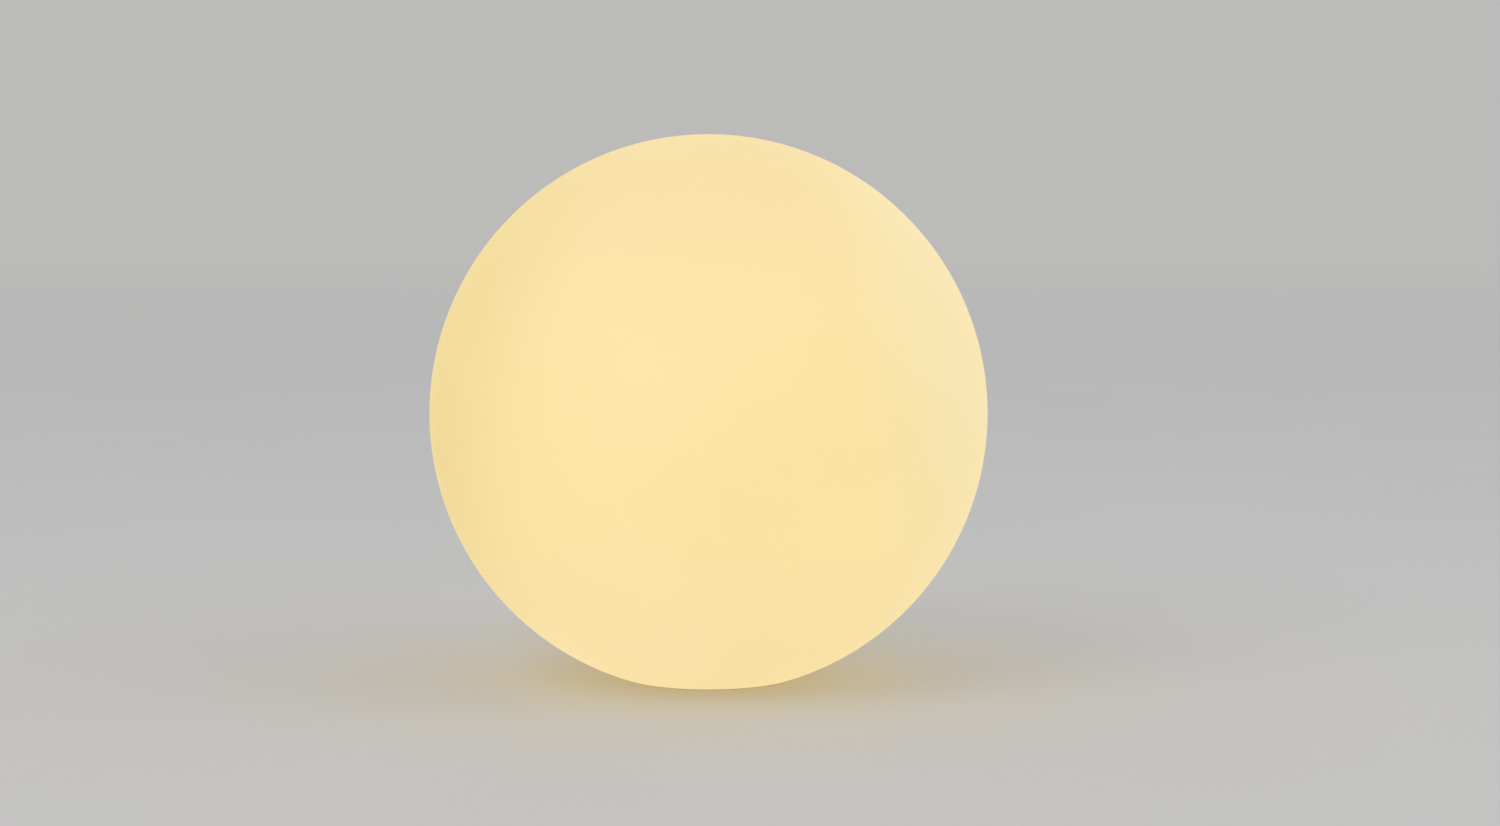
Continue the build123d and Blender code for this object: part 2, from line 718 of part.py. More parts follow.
# The block's slots take the legs of the two contacts.
spring_leg = contact_spring_reach + contact_strip
with BuildPart() as contact_block:
    with BuildSketch(Plane.XY.offset(contact_block_bottom)):
        Circle(contact_block_radius)
    extrude(amount=contact_block_thickness + contact_collar_height)
    with BuildSketch(Plane.XY.offset(contact_block_top)):
        Circle(lamp_thread_radius)
    extrude(amount=contact_seat_height, mode=Mode.SUBTRACT)
    with BuildSketch(Plane.XY.offset(sleeve_bottom)):
        Circle(sleeve_radius + shaft_gap)
    extrude(amount=contact_collar_height - contact_seat_height, mode=Mode.SUBTRACT)
    with BuildSketch(Plane.XY.offset(contact_block_bottom)):
        with Locations(
            (-spring_leg + contact_strip / 2, 0),
            (side_contact_radius - contact_strip / 2, 0),
        ):
            Rectangle(contact_strip + 2 * shaft_gap, contact_strip_width + 2 * shaft_gap)
    extrude(amount=contact_block_thickness + contact_seat_height, mode=Mode.SUBTRACT)
    with BuildSketch(Plane.XY.offset(contact_block_bottom)):
        with Locations((-contact_pole_radius, 0), (contact_pole_radius, 0)):
            Circle(contact_screw_radius + shaft_gap)
    extrude(amount=contact_screw_length, mode=Mode.SUBTRACT)
write(contact_block, "contact_block")

with BuildPart() as centre_contact:
    with BuildSketch(Plane.XZ):
        with BuildLine():
            Polyline(
                (-contact_pole_radius - contact_screw_head_radius, contact_foot),
                (-contact_spring_reach, contact_foot),
                (-contact_spring_reach, contact_block_top),
                (-contact_crest, contact_block_top + contact_spring_rise - contact_strip),
                (contact_crest, contact_block_top + contact_spring_rise - contact_strip),
                (contact_spring_reach, contact_block_top),
                (contact_spring_reach, contact_block_top + contact_strip),
                (contact_crest, contact_block_top + contact_spring_rise),
                (-contact_crest, contact_block_top + contact_spring_rise),
                (-spring_leg, contact_block_top + contact_strip),
                (-spring_leg, contact_block_bottom),
                (-contact_pole_radius - contact_screw_head_radius, contact_block_bottom),
                close=True,
            )
        make_face()
    extrude(amount=contact_strip_width / 2, both=True)
    with BuildSketch(Plane.XY.offset(contact_foot)):
        with Locations((-contact_pole_radius, 0)):
            Circle(contact_screw_radius + shaft_gap)
    extrude(amount=contact_strip, mode=Mode.SUBTRACT)
write(centre_contact, "centre_contact")

with BuildPart() as side_contact:
    with BuildSketch(Plane.XZ):
        with BuildLine():
            Polyline(
                (contact_pole_radius - contact_screw_head_radius, contact_foot),
                (side_contact_radius, contact_foot),
                (side_contact_radius, sleeve_bottom),
                (side_contact_radius - contact_strip, sleeve_bottom),
                (side_contact_radius - contact_strip, contact_block_bottom),
                (contact_pole_radius - contact_screw_head_radius, contact_block_bottom),
                close=True,
            )
        make_face()
    extrude(amount=contact_strip_width / 2, both=True)
    with BuildSketch(Plane.XY.offset(contact_foot)):
        with Locations((contact_pole_radius, 0)):
            Circle(contact_screw_radius + shaft_gap)
    extrude(amount=contact_strip, mode=Mode.SUBTRACT)
write(side_contact, "side_contact")

pole_screw = pan_screw(
    contact_screw_radius,
    contact_screw_length,
    contact_screw_head_radius,
    contact_screw_head_height,
)
with BuildPart(Plane.XY.offset(contact_foot)) as holder_terminal_screws:
    with Locations((-contact_pole_radius, 0), (contact_pole_radius, 0)):
        add(pole_screw)
write(holder_terminal_screws, "holder_terminal_screws")

sleeve_cutter = screw_form(
    sleeve_thread_radius, lamp_throw, lamp_pitch, sleeve_bottom - 1, sleeve_top + 1
)
with BuildPart() as thread_sleeve:
    with BuildSketch(Plane.XY.offset(sleeve_bottom)):
        Circle(sleeve_radius)
    extrude(amount=sleeve_top - sleeve_bottom)
    add(sleeve_cutter, mode=Mode.SUBTRACT)
write(thread_sleeve, "thread_sleeve")

# ---------------------------------------------------------------- the bulb
with BuildPart() as bulb_tip_contact:
    with BuildSketch(Plane.XY.offset(bulb_tip)):
        Circle(bulb_tip_radius)
    extrude(amount=bulb_tip_height)
    fillet(bulb_tip_contact.edges().group_by(Axis.Z)[0], radius=bulb_tip_height / 2)
    with BuildSketch(Plane.XY.offset(bulb_insulator_bottom)):
        Circle(bulb_tip_stem_radius)
    extrude(amount=bulb_insulator_height + bulb_plug_height)
write(bulb_tip_contact, "bulb_tip_contact")

bulb_insulator = turned(
    [
        (bulb_tip_stem_radius + shaft_gap, bulb_insulator_bottom),
        (bulb_tip_radius + bulb_insulator_rim, bulb_insulator_bottom),
        (bulb_cap_bore - shaft_gap, lamp_thread_bottom),
        (bulb_cap_bore - shaft_gap, lamp_thread_bottom + bulb_plug_height),
        (bulb_tip_stem_radius + shaft_gap, lamp_thread_bottom + bulb_plug_height),
    ]
)
write(bulb_insulator, "bulb_insulator")

lamp_male = screw_form(lamp_thread_radius, lamp_throw, lamp_pitch, lamp_thread_bottom, holder_rim)
with BuildPart() as bulb_cap:
    add(lamp_male)
    with BuildSketch(Plane.XY.offset(holder_rim)):
        Circle(bulb_collar_radius)
    extrude(amount=bulb_collar_height)
    with BuildSketch(Plane.XY.offset(lamp_thread_bottom)):
        Circle(bulb_cap_bore)
    extrude(amount=bulb_collar_top - lamp_thread_bottom, mode=Mode.SUBTRACT)
write(bulb_cap, "bulb_cap")

bulb_seal_bore = bulb_collar_radius + slip_gap
bulb_seal_ring = ring(bulb_seal_bore, bulb_seal_bore + bulb_seal_width, holder_rim, bulb_body_bottom)
write(bulb_seal_ring, "bulb_seal_ring")

body_middle = (bulb_body_bottom + bulb_body_top) / 2
with BuildPart() as bulb_body:
    with BuildSketch(Plane.XZ):
        with BuildLine():
            ThreePointArc(
                (bulb_foot_radius, bulb_body_bottom),
                (bulb_waist_radius, body_middle),
                (bulb_rim_radius, bulb_body_top),
            )
            Polyline(
                (bulb_rim_radius, bulb_body_top),
                (0, bulb_body_top),
                (0, bulb_body_bottom),
                (bulb_foot_radius, bulb_body_bottom),
            )
        make_face()
    revolve(axis=Axis.Z)
    with BuildSketch(Plane.XY.offset(bulb_spigot_bottom)):
        Circle(bulb_spigot_radius)
    extrude(amount=bulb_spigot_length)
    with BuildSketch(Plane.XZ):
        with BuildLine():
            ThreePointArc(
                (bulb_foot_radius - bulb_body_wall, bulb_body_bottom + bulb_body_wall),
                (bulb_waist_radius - bulb_body_wall, body_middle),
                (bulb_rim_radius - bulb_body_wall, bulb_body_top),
            )
            Polyline(
                (bulb_rim_radius - bulb_body_wall, bulb_body_top),
                (0, bulb_body_top),
                (0, bulb_body_bottom + bulb_body_wall),
                (bulb_foot_radius - bulb_body_wall, bulb_body_bottom + bulb_body_wall),
            )
        make_face()
    revolve(axis=Axis.Z, mode=Mode.SUBTRACT)
    with BuildSketch(Plane.XY.offset(bulb_spigot_bottom)):
        Circle(bulb_spigot_radius - bulb_spigot_wall)
    extrude(amount=bulb_spigot_length + bulb_body_wall, mode=Mode.SUBTRACT)
write(bulb_body, "bulb_body")

with BuildPart() as bulb_diffuser:
    with BuildSketch(Plane.XZ):
        with Locations((0, bulb_dome_centre)):
            Circle(bulb_radius)
            Circle(bulb_radius - bulb_dome_wall, mode=Mode.SUBTRACT)
            Rectangle(
                4 * bulb_radius, 4 * bulb_radius, align=(Align.MAX, Align.CENTER), mode=Mode.SUBTRACT
            )
        with Locations((0, bulb_body_top)):
            Rectangle(
                4 * bulb_radius, 4 * bulb_radius, align=(Align.CENTER, Align.MAX), mode=Mode.SUBTRACT
            )
    revolve(axis=Axis.Z)
write(bulb_diffuser, "bulb_diffuser")

led_board_top = bulb_body_top + led_board_thickness
led_board = ring(tube_bore_radius, bulb_rim_bore - slip_gap, bulb_body_top, led_board_top)
write(led_board, "led_board")

with BuildPart() as led_chips:
    with BuildSketch(Plane.XY.offset(led_board_top)):
        with PolarLocations(led_circle, led_count):
            Rectangle(led_size, led_size)
    extrude(amount=led_height)
write(led_chips, "led_chips")

driver_bottom = bulb_spigot_bottom + bulb_plug_height
with BuildPart() as driver_board:
    with BuildSketch(Plane.XY.offset(driver_bottom)):
        Rectangle(driver_board_width, driver_board_thickness)
    extrude(amount=driver_board_length)
write(driver_board, "driver_board")

# A capacitor before the board, and a coil behind it
with BuildPart() as driver_parts:
    with BuildSketch(Plane.XY.offset(driver_bottom + driver_part_height)):
        with Locations((0, -driver_board_thickness / 2 - driver_capacitor_radius)):
            Circle(driver_capacitor_radius)
    extrude(amount=driver_capacitor_length)
    with BuildSketch(Plane.XY.offset(driver_bottom + driver_part_height)):
        with Locations((0, (driver_board_thickness + driver_coil_size) / 2)):
            Rectangle(1.5 * driver_coil_size, driver_coil_size)
    extrude(amount=1.5 * driver_coil_size)
write(driver_parts, "driver_parts")

# ---------------------------------------------------------------- the terminal block and the inner leads
clamp_plane = Plane(origin=(0, 0, terminal_axis), x_dir=(1, 0, 0), z_dir=(0, 1, 0))
clamp_start = -terminal_front - terminal_length + terminal_clamp_inset
clamp_length = terminal_length - 2 * terminal_clamp_inset
pole_points = [(-terminal_spacing / 2, 0), (terminal_spacing / 2, 0)]
screw_points = [
    (side * terminal_spacing / 2, terminal_middle + end * terminal_screw_spacing / 2)
    for side in (-1, 1)
    for end in (-1, 1)
]

with BuildPart() as terminal_block:
    with BuildSketch(Plane.XY.offset(terminal_bottom)):
        with Locations((0, terminal_middle)):
            RectangleRounded(terminal_width, terminal_length, 1)
    extrude(amount=terminal_height)
    with BuildSketch(clamp_plane.offset(-terminal_front - terminal_length)):
        with Locations(*pole_points):
            Circle(terminal_clamp_radius + shaft_gap)
    extrude(amount=terminal_length, mode=Mode.SUBTRACT)
    with BuildSketch(Plane.XY.offset(terminal_bottom)):
        with Locations(*screw_points):
            Circle(terminal_screw_radius + shaft_gap)
    extrude(amount=terminal_axis_height, mode=Mode.SUBTRACT)
    with BuildSketch(Plane.XY.offset(terminal_bottom)):
        with Locations((0, terminal_middle)):
            Circle(contact_screw_radius + shaft_gap)
    extrude(amount=terminal_height, mode=Mode.SUBTRACT)
write(terminal_block, "terminal_block")

with BuildPart() as terminal_clamps:
    with BuildSketch(clamp_plane.offset(clamp_start)):
        with Locations(*pole_points):
            Circle(terminal_clamp_radius)
            Circle(clamp_bore_radius, mode=Mode.SUBTRACT)
    extrude(amount=clamp_length)
    with BuildSketch(Plane.XY.offset(terminal_bottom)):
        with Locations(*screw_points):
            Circle(terminal_screw_radius + shaft_gap)
    extrude(amount=terminal_axis_height, mode=Mode.SUBTRACT)
write(terminal_clamps, "terminal_clamps")

with BuildPart() as terminal_screws:
    with BuildSketch(Plane.XY.offset(terminal_bottom - terminal_screw_end)):
        with Locations(*screw_points):
            Circle(terminal_screw_radius)
    extrude(amount=terminal_axis_height + terminal_screw_end - lead_radius - shaft_gap)
    with BuildSketch(Plane.XY.offset(terminal_bottom - terminal_screw_end)):
        with Locations(*screw_points):
            Rectangle(3 * terminal_screw_radius, 0.4 * terminal_screw_radius)
    extrude(amount=terminal_screw_radius, mode=Mode.SUBTRACT)
write(terminal_screws, "terminal_screws")

block_screw = pan_screw(
    contact_screw_radius,
    terminal_height + terminal_stand - 1,
    contact_screw_head_radius,
    contact_screw_head_height,
)
with BuildPart(Plane.XY.offset(terminal_bottom)) as terminal_block_screw:
    with Locations((0, terminal_middle)):
        add(block_screw)
write(terminal_block_screw, "terminal_block_screw")

for lead_name, side in (("live_lead", -1), ("neutral_lead", 1)):
    clamp_x = side * terminal_spacing / 2
    tube_x = side * lead_spacing / 2
    route_points = [
        (clamp_x, -terminal_front - terminal_clamp_inset - lead_entry, terminal_axis),
        (clamp_x, -terminal_front + lead_clear, terminal_axis),
        (tube_x, 0, terminal_axis + lead_rise),
        (tube_x, 0, lead_end_height),
        (side * lead_end_radius, 0, lead_end_height),
    ]
    bend_radii = route_radii(route_points)
    with BuildPart() as inner_lead:
        with BuildLine() as lead_route:
            FilletPolyline(*route_points, radius=bend_radii)
        with BuildSketch(Plane(origin=lead_route.line @ 0, z_dir=lead_route.line % 0)):
            Circle(lead_radius)
        sweep()
    write(inner_lead, lead_name)
    swept_volume = pi * lead_radius**2 * sum(edge.length for edge in lead_route.edges())
    print(lead_name, "bend radii", [round(radius, 1) for radius in bend_radii])
    print(lead_name, "volume over section times length", inner_lead.part.volume / swept_volume)
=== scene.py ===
"""Garden globe light, dressed: a lit ball of milky plastic that stands on its foot ring.

Lengths are in metres, in the frame of the model: +Z up, +Y to the rear, the ground at Z = 0.
"""

from math import cos, radians, sin

import bpy
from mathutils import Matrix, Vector


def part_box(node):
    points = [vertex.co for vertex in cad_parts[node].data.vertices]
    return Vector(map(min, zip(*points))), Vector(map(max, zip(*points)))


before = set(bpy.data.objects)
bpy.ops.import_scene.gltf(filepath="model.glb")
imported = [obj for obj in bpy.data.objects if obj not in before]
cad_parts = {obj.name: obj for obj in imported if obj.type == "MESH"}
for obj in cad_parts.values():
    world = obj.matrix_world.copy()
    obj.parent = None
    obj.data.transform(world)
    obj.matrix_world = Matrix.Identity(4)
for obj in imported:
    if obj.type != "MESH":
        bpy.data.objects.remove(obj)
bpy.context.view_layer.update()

# ---------------------------------------------------------------- sizes of the view
PHOTO_WIDTH = 1500
SENSOR_WIDTH = 36.0  # millimetres, as the lens is
VIEW_DISTANCE = 2.2  # from the camera to the middle of the ball
VIEW_ELEVATION = 4.5  # degrees above the middle of the ball
BALL_RADIUS_PIXELS = 279.1
BALL_OFFSET_PIXELS = (-41.15, -0.18)  # middle of the ball from the middle of the frame

BALL_RADIUS = 0.2
BALL_MIDDLE = Vector((0.0, 0.0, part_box("globe_shell")[1][2] - BALL_RADIUS))

FLOOR_RADIUS = 30.0
FLOOR_SIDES = 96


# ---------------------------------------------------------------- finishes
class Signal:
    """A value that varies over a surface. Sums of such values add Math nodes."""

    def __init__(self, finish, socket):
        self.finish = finish
        self.socket = socket

    def __add__(self, other):
        return self.finish.combine("ADD", self, other)

    def __sub__(self, other):
        return self.finish.combine("SUBTRACT", self, other)

    def __rsub__(self, other):
        return self.finish.combine("SUBTRACT", other, self)

    def __mul__(self, other):
        return self.finish.combine("MULTIPLY", self, other)

    __radd__ = __add__
    __rmul__ = __mul__


class Nodes:
    """A node tree of a material or of the studio's surroundings."""

    def __init__(self, owner):
        owner.use_nodes = True
        self.tree = owner.node_tree
        self.tree.nodes.clear()

    def feed(self, socket, value):
        """Gives a socket a link or a value."""
        if isinstance(value, Signal):
            self.tree.links.new(value.socket, socket)
        else:
            socket.default_value = value

    def make(self, kind, settings=None, sockets=None, output=0):
        """One node: its settings first, then the values or links of its sockets."""
        node = self.tree.nodes.new(kind)
        for name, value in (settings or {}).items():
            setattr(node, name, value)
        for name, value in (sockets or {}).items():
            self.feed(node.inputs[name], value)
        return None if output is None else Signal(self, node.outputs[output])

    def combine(self, operation, first, second):
        """A Math node on two values."""
        return self.make("ShaderNodeMath", {"operation": operation}, {0: first, 1: second})


class Finish(Nodes):
    """One material: its surface, the place on it and what varies over it."""

    def __init__(self, name, **constants):
        self.material = bpy.data.materials.new(name)
        super().__init__(self.material)
        self.surface = self.make(
            "ShaderNodeBsdfPrincipled",
            {},
            {socket.replace("_", " "): value for socket, value in constants.items()},
        )
        self.place = self.make("ShaderNodeTexCoord", output="Object")

    def noise(self, size, detail=2.0):
        """Cloudy noise from 0 to 1, with features of about this size in metres."""
        return self.make(
            "ShaderNodeTexNoise",
            {"noise_dimensions": "3D"},
            {"Vector": self.place, "Scale": 1.0 / size, "Detail": detail, "Roughness": 0.5},
        )

    def grade(self, value, low, high, start=0.0, end=1.0):
        """Maps low..high to start..end smoothly and holds the ends."""
        return self.make(
            "ShaderNodeMapRange",
            {"interpolation_type": "SMOOTHSTEP"},
            {"Value": value, "From Min": low, "From Max": high, "To Min": start, "To Max": end},
        )

    def blend(self, factor, first, second):
        """A colour between two colours."""
        return self.make(
            "ShaderNodeMix",
            {"data_type": "RGBA", "clamp_factor": True},
            {0: factor, 6: colour(first), 7: colour(second)},
            output=2,
        )

    def axis(self, letter):
        """One coordinate of the place on the surface."""
        return self.make("ShaderNodeSeparateXYZ", {}, {0: self.place}, output="XYZ".index(letter))

    def set(self, name, value):
        """Feeds one socket of the surface."""
        self.feed(self.surface.socket.node.inputs[name], value)

    def done(self, shown=None):
        """Shows the surface, or what is mixed from it, and gives the material."""
        self.make("ShaderNodeOutputMaterial", {}, {"Surface": shown or self.surface}, output=None)
        return self.material

    def relief(self, height, depth):
        """Fine relief of this depth in metres from a height of 0 to 1."""
        self.set("Normal", self.make("ShaderNodeBump", {}, {"Height": height, "Distance": depth}))


def linear(red, green, blue):
    """A colour in linear light from screen values of 0 to 255."""
    return tuple(
        value / 255 / 12.92 if value / 255 <= 0.04045 else ((value / 255 + 0.055) / 1.055) ** 2.4
        for value in (red, green, blue)
    )


def colour(value):
    """A colour for a socket: a link as it is, or three numbers with full opacity."""
    return value if isinstance(value, Signal) else (*value, 1.0)


NOISE_SPAN = (0.3, 0.7)  # the values between which nearly all of a noise lies
CLOUD_SIZE = 0.03
STREAK_WIDTH = 0.0004
STREAK_LENGTH = 0.016
STREAK_DEPTH = 0.00002
STAIN_SIZE = 0.004


def grained(name, light, dark, grain, depth, roughness, spread=0.08):
    """Moulded or cast stuff: two close tones in soft clouds, a fine grain and uneven gloss."""
    finish = Finish(name)
    clouds = finish.noise(CLOUD_SIZE, detail=3.0)
    fine = finish.noise(grain)
    gloss = finish.grade(fine, *NOISE_SPAN, roughness - spread, roughness + spread)
    finish.set("Base Color", finish.blend(clouds * 0.7 + fine * 0.3, dark, light))
    finish.set("Roughness", gloss)
    finish.relief(fine, depth)
    return finish.done()


def brushed(name, light, dark, roughness):
    """Drawn or turned metal: upright streaks, with a few darker marks."""
    finish = Finish(name, Metallic=1.0)
    stretched = finish.make(
        "ShaderNodeVectorMath",
        {"operation": "MULTIPLY"},
        {0: finish.place, 1: (1 / STREAK_WIDTH, 1 / STREAK_WIDTH, 1 / STREAK_LENGTH)},
    )
    streaks = finish.make(
        "ShaderNodeTexNoise",
        {},
        {"Vector": stretched, "Scale": 1.0, "Detail": 2.0, "Roughness": 0.6},
    )
    stains = finish.noise(STAIN_SIZE, detail=4.0)
    gloss = finish.grade(streaks, *NOISE_SPAN, roughness - 0.07, roughness + 0.1)
    finish.set("Base Color", finish.blend(streaks * 0.5 + stains * 0.5, dark, light))
    finish.set("Roughness", gloss)
    finish.relief(streaks, STREAK_DEPTH)
    return finish.done()


# The ball's tones, as the photograph shows them from the front
# Painted light and shade in the glow: the body paler to the right and deeper to the left
TONE_LEFT = (255, 231, 170)
TONE_RIGHT = (253, 229, 165)
TONE_LOW = (257, 235, 170)  # over 255, because the lamps reach the lower half less
# Painted shade: the top edge darker and the left edge deeper; painted light: the foot edge and the
# right edge paler
TONE_TOP_EDGE_SHADE = (245, 222, 166)
TONE_FOOT_EDGE_LIGHT = (253, 231, 178)
TONE_RIGHT_EDGE_LIGHT = (249, 230, 178)
TONE_LEFT_EDGE_SHADE = (239, 216, 151)
TONE_DRIFT = (250, 226, 162)  # soft clouds in the moulding
# Painted shade in the glow: the foot ring darker where it meets the ground, and the collar darker
# the lower it lies
TONE_RING_SHADE = (226, 190, 122)
TONE_COLLAR = (202, 165, 104)

# Where each tone starts and where it is full, then its share at both where that isn't 0 and 1
SPAN_RIGHT = (-0.2, 0.4)
SPAN_LOW = (-0.1, 0.5, 0.0, 0.5)
SPAN_TOP_EDGE_SHADE = (0.1, 1.1)
SPAN_FOOT_EDGE_LIGHT = (0.1, 1.0)
SPAN_RIGHT_EDGE_LIGHT = (0.44, 0.87)
SPAN_LEFT_EDGE_SHADE = (0.52, 1.02)
SPAN_DRIFT = (0.3, 0.75, 0.0, 0.3)
SPAN_RING_SHADE = (0.0006, 0.0001)  # metres above the ground
SPAN_COLLAR = (0.05, 0.0)  # metres above the ground
DRIFT_SIZE = 0.09
COLLAR_DRIFT_SIZE = 0.02

SKIN_LIGHT = (0.20, 0.175, 0.125)
SKIN_DARK = (0.17, 0.15, 0.105)
SKIN_LEVEL = 0.9  # the share of the skin's own colour that the studio's light brings out
SKIN_ROUGHNESS = (0.5, 0.62)
SKIN_GRAIN = 0.0022
SKIN_DEPTH = 0.00006


def glow(red, green, blue):
    """The light that the plastic gives off where it shows this screen colour in the studio."""
    skin = [(light + dark) / 2 * SKIN_LEVEL for light, dark in zip(SKIN_LIGHT, SKIN_DARK)]
    return tuple(max(0.0, value - share) for value, share in zip(linear(red, green, blue), skin))


def milky(name):
    """Milky polyethylene with a satin skin, ready for its glow."""
    finish = Finish(name, IOR=1.5, Specular_IOR_Level=0.2, Emission_Strength=1.0)
    skin = finish.noise(SKIN_GRAIN, detail=3.0)
    finish.set("Base Color", finish.blend(skin, SKIN_DARK, SKIN_LIGHT))
    finish.set("Roughness", finish.grade(skin, *NOISE_SPAN, *SKIN_ROUGHNESS))
    finish.relief(skin, SKIN_DEPTH)
    return finish


def lit_ball():
    """The ball, lit from inside: an even warm cream with painted light and shade in its glow,
    paler to the right and at the foot, deeper to the left and at the top edge, with a painted
    contact shade on the foot ring.
    """
    finish = milky("lit_ball")
    across = finish.axis("X") * (1 / BALL_RADIUS)
    height = (finish.axis("Z") - BALL_MIDDLE.z) * (1 / BALL_RADIUS)
    body = glow(*TONE_LEFT)
    # Each step but the drift paints light or shade into the glow; the drift is a random tone
    for measure, span, tone in (
        (0.9 * across - 0.4 * height, SPAN_RIGHT, TONE_RIGHT),
        (-1 * height, SPAN_LOW, TONE_LOW),
        (height, SPAN_TOP_EDGE_SHADE, TONE_TOP_EDGE_SHADE),
        (-1 * height, SPAN_FOOT_EDGE_LIGHT, TONE_FOOT_EDGE_LIGHT),
        (across + 0.2 * height, SPAN_RIGHT_EDGE_LIGHT, TONE_RIGHT_EDGE_LIGHT),
        (0.25 * (height * height) + 0.12 * height - across, SPAN_LEFT_EDGE_SHADE, TONE_LEFT_EDGE_SHADE),
        (finish.noise(DRIFT_SIZE), SPAN_DRIFT, TONE_DRIFT),
        (finish.axis("Z"), SPAN_RING_SHADE, TONE_RING_SHADE),
    ):
        body = finish.blend(finish.grade(measure, *span), body, glow(*tone))
    finish.set("Emission Color", body)
    return finish.done()


def dim_collar():
    """The collar inside the ball: the same plastic, reached by less light the lower it is."""
    finish = milky("dim_collar")
    low = finish.grade(finish.axis("Z"), *SPAN_COLLAR)
    shade = low * 0.8 + finish.noise(COLLAR_DRIFT_SIZE) * 0.2
    finish.set("Emission Color", finish.blend(shade, glow(*TONE_RING_SHADE), glow(*TONE_COLLAR)))
    return finish.done()


black_plastic = grained(
    "black_plastic",
    light=(0.030, 0.030, 0.032),
    dark=(0.020, 0.020, 0.021),
    grain=0.0006,
    depth=0.00004,
    roughness=0.55,
)
rubber = grained(
    "rubber",
    light=(0.022, 0.022, 0.022),
    dark=(0.014, 0.014, 0.014),
    grain=0.0009,
    depth=0.00003,
    roughness=0.75,
)
holder_black = grained(
    "holder_black",
    light=(0.024, 0.023, 0.023),
    dark=(0.016, 0.016, 0.016),
    grain=0.0012,
    depth=0.00001,
    roughness=0.25,
)
block_white = grained(
    "block_white",
    light=(0.80, 0.79, 0.74),
    dark=(0.72, 0.70, 0.65),
    grain=0.0008,
    depth=0.00002,
    roughness=0.45,
)
glass_black = grained(
    "glass_black",
    light=(0.018, 0.016, 0.024),
    dark=(0.010, 0.010, 0.014),
    grain=0.0016,
    depth=0.00001,
    roughness=0.12,
    spread=0.05,
)
bulb_white = grained(
    "bulb_white",
    light=(0.82, 0.82, 0.80),
    dark=(0.77, 0.77, 0.75),
    grain=0.0009,
    depth=0.00002,
    roughness=0.38,
)
board_white = grained(
    "board_white",
    light=(0.84, 0.84, 0.82),
    dark=(0.78, 0.78, 0.76),
    grain=0.0012,
    depth=0.00001,
    roughness=0.35,
)
board_green = grained(
    "board_green",
    light=(0.030, 0.17, 0.060),
    dark=(0.020, 0.11, 0.040),
    grain=0.0012,
    depth=0.00002,
    roughness=0.35,
)
driver_black = grained(
    "driver_black",
    light=(0.035, 0.035, 0.045),
    dark=(0.020, 0.020, 0.025),
    grain=0.0012,
    depth=0.00001,
    roughness=0.35,
)
lead_brown = grained(
    "lead_brown",
    light=(0.12, 0.050, 0.020),
    dark=(0.085, 0.034, 0.014),
    grain=0.001,
    depth=0.00001,
    roughness=0.4,
)
lead_blue = grained(
    "lead_blue",
    light=(0.030, 0.11, 0.42),
    dark=(0.020, 0.075, 0.30),
    grain=0.001,
    depth=0.00001,
    roughness=0.4,
)
zinc_steel = brushed(
    "zinc_steel", light=(0.66, 0.66, 0.68), dark=(0.48, 0.48, 0.50), roughness=0.30
)
brass = brushed("brass", light=(0.78, 0.58, 0.26), dark=(0.62, 0.43, 0.17), roughness=0.28)
aluminium = brushed(
    "aluminium", light=(0.86, 0.86, 0.87), dark=(0.72, 0.72, 0.73), roughness=0.30
)


def lit_part(name, tone, edge, size, base):
    """A lit piece of the bulb: its glow drifts between two tones."""
    finish = Finish(name, Emission_Strength=1.0)
    clouds = finish.noise(size)
    finish.set("Emission Color", finish.blend(clouds, edge, tone))
    finish.set("Base Color", finish.blend(clouds, base, tuple(value * 0.9 for value in base)))
    finish.set("Roughness", finish.grade(clouds, *NOISE_SPAN, 0.45, 0.55))
    return finish.done()


lit_dome = lit_part(
    "lit_dome",
    tone=(0.82, 0.74, 0.54),
    edge=(0.78, 0.69, 0.48),
    size=0.02,
    base=(0.16, 0.155, 0.14),
)
lit_phosphor = lit_part(
    "lit_phosphor",
    tone=(0.80, 0.62, 0.22),
    edge=(0.74, 0.54, 0.16),
    size=0.001,
    base=(0.16, 0.12, 0.03),
)

FINISH_OF = {
    "globe_shell": lit_ball(),
    "globe_collar": dim_collar(),
    "neck_gasket": rubber,
    "base_housing": black_plastic,
    "base_cover": black_plastic,
    "cover_gasket": rubber,
    "cover_screws": zinc_steel,
    "rubber_feet": rubber,
    "gland_body": black_plastic,
    "gland_washer": rubber,
    "gland_lock_nut": black_plastic,
    "gland_seal": rubber,
    "gland_nut": black_plastic,
    "holder_tube": zinc_steel,
    "tube_washer": zinc_steel,
    "tube_nut": zinc_steel,
    "holder_cap": holder_black,
    "holder_barrel": holder_black,
    "contact_block": block_white,
    "centre_contact": brass,
    "side_contact": brass,
    "holder_terminal_screws": brass,
    "thread_sleeve": brass,
    "bulb_tip_contact": brass,
    "bulb_insulator": glass_black,
    "bulb_cap": aluminium,
    "bulb_seal_ring": rubber,
    "bulb_body": bulb_white,
    "bulb_diffuser": lit_dome,
    "led_board": board_white,
    "led_chips": lit_phosphor,
    "driver_board": board_green,
    "driver_parts": driver_black,
    "terminal_block": block_white,
    "terminal_clamps": brass,
    "terminal_screws": zinc_steel,
    "terminal_block_screw": zinc_steel,
    "live_lead": lead_brown,
    "neutral_lead": lead_blue,
}
for node_name, material in FINISH_OF.items():
    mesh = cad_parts[node_name].data
    mesh.materials.clear()
    mesh.materials.append(material)


# ---------------------------------------------------------------- floor, light and camera
BACKDROP = (0.50, 0.497, 0.49)
STUDIO_LIGHT = (0.78, 0.785, 0.80)
FLOOR_LIGHT = (0.60, 0.595, 0.585)
FLOOR_DARK = (0.575, 0.57, 0.56)
FLOOR_CLOUD_SIZE = 0.35
FLOOR_GRAIN = 0.004
FLOOR_GRAIN_DEPTH = 0.0001
FLOOR_FADE = (1.0, 12.0)  # distances between which the floor fades into the backdrop
LAMP_SIZE = 2.4


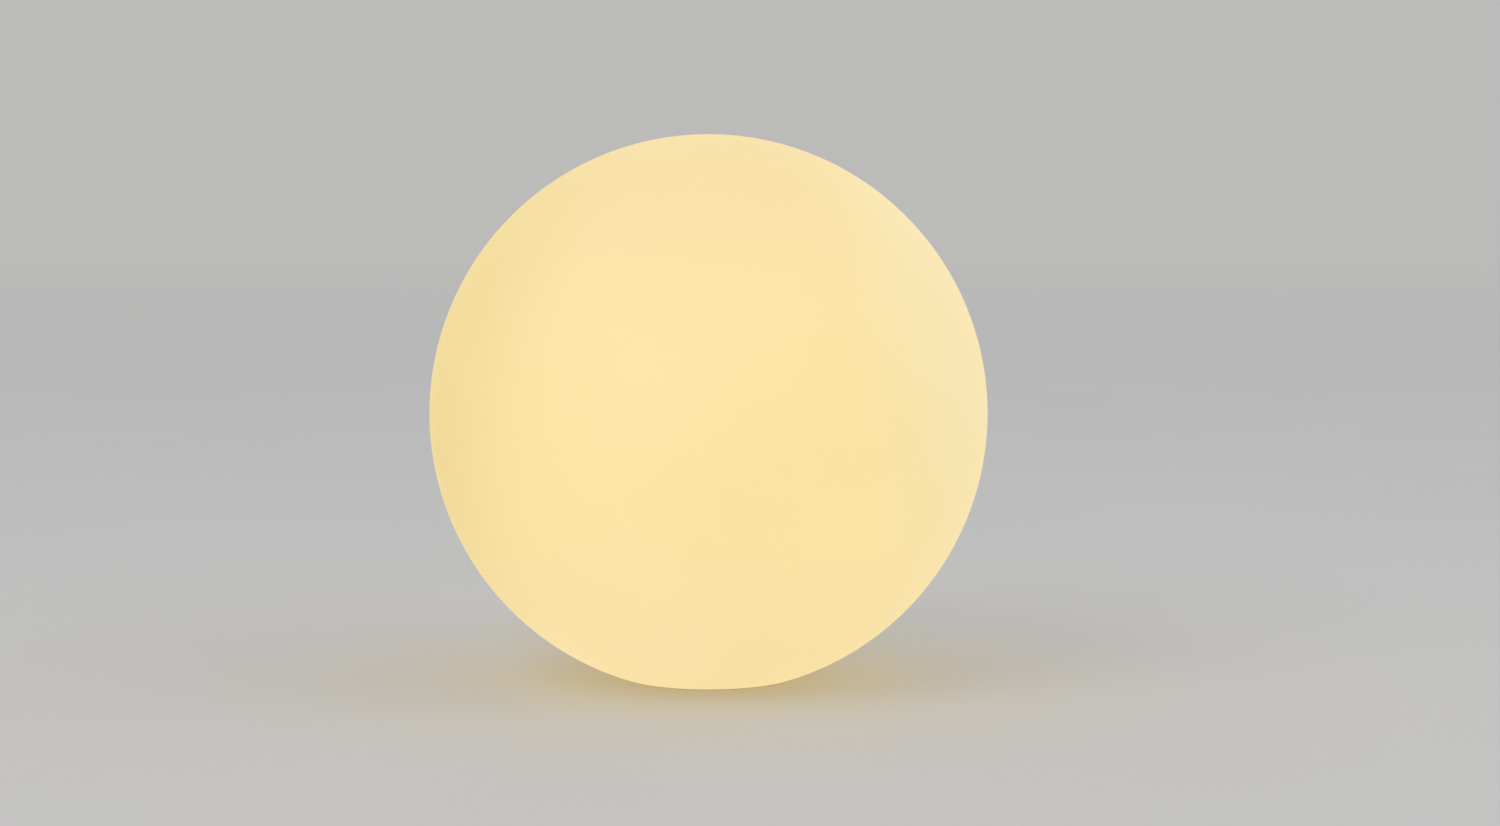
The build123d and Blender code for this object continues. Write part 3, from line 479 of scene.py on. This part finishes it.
def floor_stuff():
    """Pale matt floor that fades into the backdrop far off, and is seen through from below."""
    finish = Finish("floor_stuff", Roughness=0.85, Specular_IOR_Level=0.2)
    clouds = finish.noise(FLOOR_CLOUD_SIZE, detail=3.0)
    finish.set("Base Color", finish.blend(clouds, FLOOR_DARK, FLOOR_LIGHT))
    finish.relief(finish.noise(FLOOR_GRAIN, detail=3.0), FLOOR_GRAIN_DEPTH)
    clear = finish.make("ShaderNodeBsdfTransparent")
    below = finish.make("ShaderNodeNewGeometry", output="Backfacing")
    distance = finish.make(
        "ShaderNodeVectorMath", {"operation": "LENGTH"}, {0: finish.place}, output=1
    )
    unseen = finish.combine("MAXIMUM", below, finish.grade(distance, *FLOOR_FADE))
    shown = finish.make("ShaderNodeMixShader", {}, {0: unseen, 1: finish.surface, 2: clear})
    return finish.done(shown)


bpy.ops.mesh.primitive_circle_add(
    vertices=FLOOR_SIDES, radius=FLOOR_RADIUS, fill_type="TRIFAN"
)
floor = bpy.context.object
floor.name = "floor"
floor.data.materials.append(floor_stuff())

world = bpy.data.worlds.new("studio")
bpy.context.scene.world = world
studio = Nodes(world)
light, backdrop = (
    studio.make("ShaderNodeBackground", {}, {"Color": (*shade, 1.0), "Strength": 1.0})
    for shade in (STUDIO_LIGHT, BACKDROP)
)
seen, mirrored, through = (
    studio.make("ShaderNodeLightPath", output=kind)
    for kind in ("Is Camera Ray", "Is Glossy Ray", "Is Transmission Ray")
)
surroundings = studio.make(
    "ShaderNodeMixShader", {}, {0: seen + mirrored + through, 1: light, 2: backdrop}
)
studio.make("ShaderNodeOutputWorld", {}, {"Surface": surroundings}, output=None)


def soft_lamp(name, place, power, tone):
    """A square area lamp that faces the ball."""
    data = bpy.data.lights.new(name, "AREA")
    data.shape = "SQUARE"
    data.size = LAMP_SIZE
    data.energy = power
    data.color = tone
    lamp = bpy.data.objects.new(name, data)
    lamp.location = place
    lamp.rotation_euler = (BALL_MIDDLE - Vector(place)).to_track_quat("-Z", "Y").to_euler()
    bpy.context.collection.objects.link(lamp)


soft_lamp("key_lamp", place=(-2.0, -2.2, 3.0), power=26.0, tone=(1.0, 0.98, 0.95))
soft_lamp("fill_lamp", place=(2.6, -1.0, 2.2), power=12.0, tone=(0.95, 0.97, 1.0))

pixel_focus = BALL_RADIUS_PIXELS * (VIEW_DISTANCE**2 - BALL_RADIUS**2) ** 0.5 / BALL_RADIUS
lens_camera = bpy.data.cameras.new("camera")
lens_camera.sensor_width = SENSOR_WIDTH
lens_camera.lens = SENSOR_WIDTH * pixel_focus / PHOTO_WIDTH
camera = bpy.data.objects.new("camera", lens_camera)
bpy.context.collection.objects.link(camera)
bpy.context.scene.camera = camera
rise = radians(VIEW_ELEVATION)
camera.location = BALL_MIDDLE + VIEW_DISTANCE * Vector((0.0, -cos(rise), sin(rise)))
offset_right, offset_up = BALL_OFFSET_PIXELS
aim = BALL_MIDDLE - VIEW_DISTANCE / pixel_focus * Vector((offset_right, 0.0, offset_up))
camera.rotation_euler = (aim - camera.location).to_track_quat("-Z", "Y").to_euler()

bpy.context.scene.view_settings.view_transform = "Standard"
